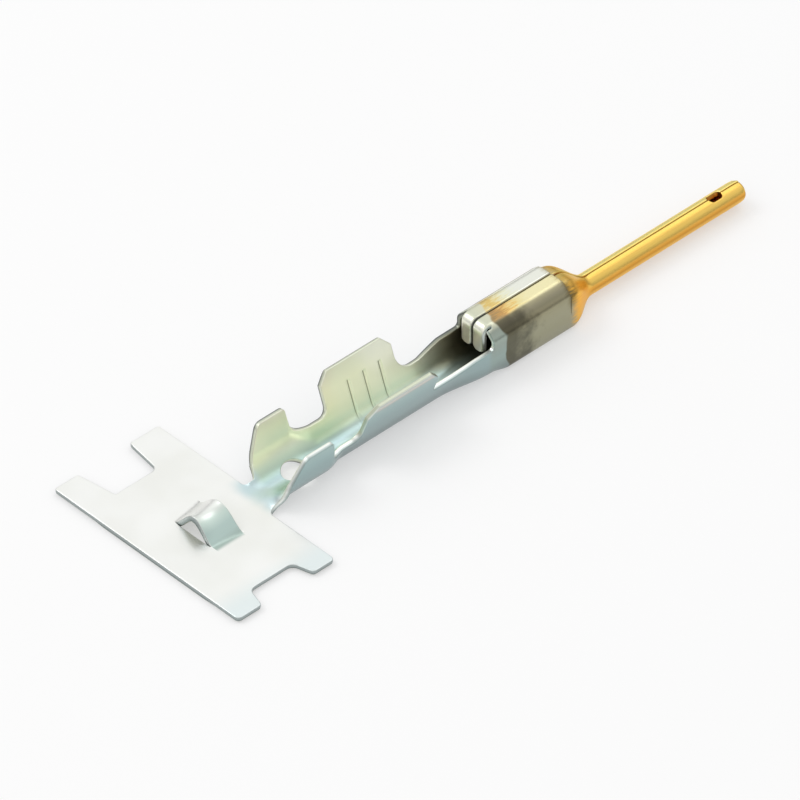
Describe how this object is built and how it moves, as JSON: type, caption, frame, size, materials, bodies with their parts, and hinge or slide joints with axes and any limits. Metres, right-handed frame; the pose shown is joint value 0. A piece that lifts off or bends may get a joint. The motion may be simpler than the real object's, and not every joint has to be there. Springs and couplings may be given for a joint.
{
  "type": "crimp terminal",
  "caption": "Male crimp terminal stamped from one strip: open wire barrels, a folded locking box, a rolled round contact pin and its piece of carrier strip",
  "frame": {"origin": "the middle of the locking box's underside, on the terminal's centre plane", "axes": "+X along the contact pin towards its tip, +Z out of the open side of the wire barrels, +Y to the longer end of the carrier strip"},
  "size_m": [0.0333, 0.011, 0.0028],
  "materials": {
    "plated_sheet": "satin, tin plated, the pin and part of the box gold plated"
  },
  "bodies": {
    "root": {"crimp_terminal": "plated_sheet"}
  },
  "joints": []
}
